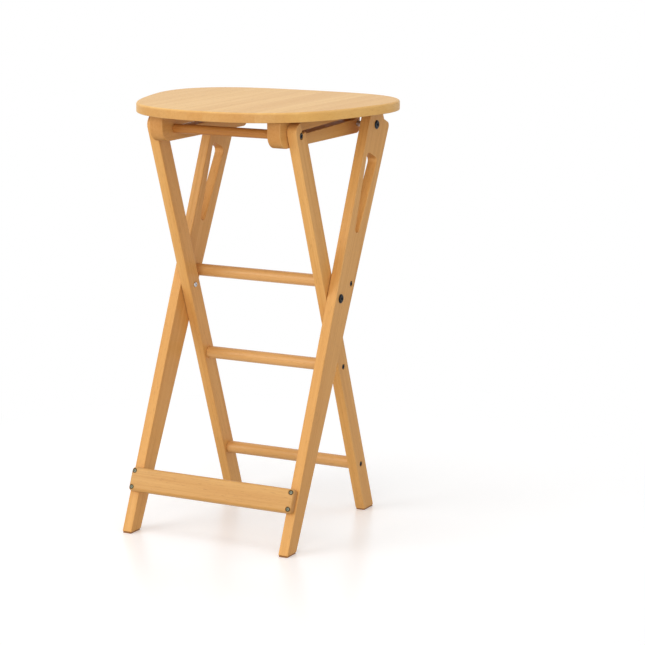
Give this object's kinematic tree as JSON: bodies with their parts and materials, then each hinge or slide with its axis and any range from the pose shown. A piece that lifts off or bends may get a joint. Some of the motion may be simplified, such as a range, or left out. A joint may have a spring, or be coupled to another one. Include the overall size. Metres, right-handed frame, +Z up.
{
  "type": "folding bar stool",
  "caption": "Folding wooden bar stool with crossed board legs, round rungs, hand grips and a rounded seat whose slotted cleats slide over a bar as it folds flat.",
  "frame": {"origin": "on the floor under the middle of the open stool's overall box", "axes": "+Z up, -Y the front of the stool, where the seat is narrower and the front board is, +X the right-hand side seen from the front"},
  "size_m": [0.4534, 0.3968, 0.75],
  "materials": {
    "seat_wood": "satin lacquer over pale honey hardwood",
    "board_wood": "satin lacquer over honey hardwood boards",
    "rung_wood": "satin lacquer over turned hardwood dowel",
    "black_steel": "black finished steel, slight sheen",
    "dark_steel": "dark bronze finished wood screws",
    "bright_steel": "zinc plated steel",
    "pad": "brown plastic glide"
  },
  "bodies": {
    "outer_frame": {"outer_leg_left": "board_wood", "outer_leg_right": "board_wood", "front_board": "board_wood", "board_screw_lower_left": "dark_steel", "board_screw_lower_right": "dark_steel", "board_screw_upper_left": "dark_steel", "board_screw_upper_right": "dark_steel", "upper_rung": "rung_wood", "upper_rung_screw_left": "black_steel", "upper_rung_screw_right": "black_steel", "hinge_bolt_left": "black_steel", "hinge_bolt_right": "black_steel", "hinge_sleeve_left": "bright_steel", "hinge_sleeve_right": "bright_steel", "pivot_bolt_left": "black_steel", "pivot_bolt_right": "black_steel", "pivot_washer_left": "bright_steel", "pivot_washer_right": "bright_steel", "pivot_nut_left": "bright_steel", "pivot_nut_right": "bright_steel", "foot_pad_outer_left": "pad", "foot_pad_outer_right": "pad"},
    "inner_frame": {"inner_leg_left": "board_wood", "inner_leg_right": "board_wood", "middle_rung": "rung_wood", "middle_rung_screw_left": "black_steel", "middle_rung_screw_right": "black_steel", "lower_rung": "rung_wood", "lower_rung_screw_left": "black_steel", "lower_rung_screw_right": "black_steel", "foot_pad_inner_left": "pad", "foot_pad_inner_right": "pad"},
    "bar": {"slide_bar": "rung_wood", "bar_bolt_left": "black_steel", "bar_bolt_right": "black_steel"},
    "seat": {"seat_board": "seat_wood", "cleat_left": "board_wood", "cleat_right": "board_wood", "cleat_screw_left": "dark_steel", "cleat_screw_right": "dark_steel", "hinge_insert_left": "bright_steel", "hinge_insert_right": "bright_steel"}
  },
  "joints": [
    {"name": "frame_fold", "type": "hinge", "parent": "outer_frame", "child": "inner_frame", "pos_m": [0, -0.00181, 0.4146], "axis": [-1, 0, 0], "range_deg": [0, 43.1]},
    {"name": "bar_turn", "type": "hinge", "parent": "inner_frame", "child": "bar", "pos_m": [0, -0.10751, 0.7066], "axis": [1, 0, 0], "range_deg": [0, 109.9]},
    {"name": "seat_slide", "type": "slide", "parent": "bar", "child": "seat", "axis": [0, -0.9995, -0.0329], "range_m": [0, 0.23393]}
  ],
  "couplings": [
    {"joint": "bar_turn", "follows": "frame_fold", "ratio": 2.5499},
    {"joint": "seat_slide", "follows": "frame_fold", "m_per_rad": 0.31098}
  ]
}
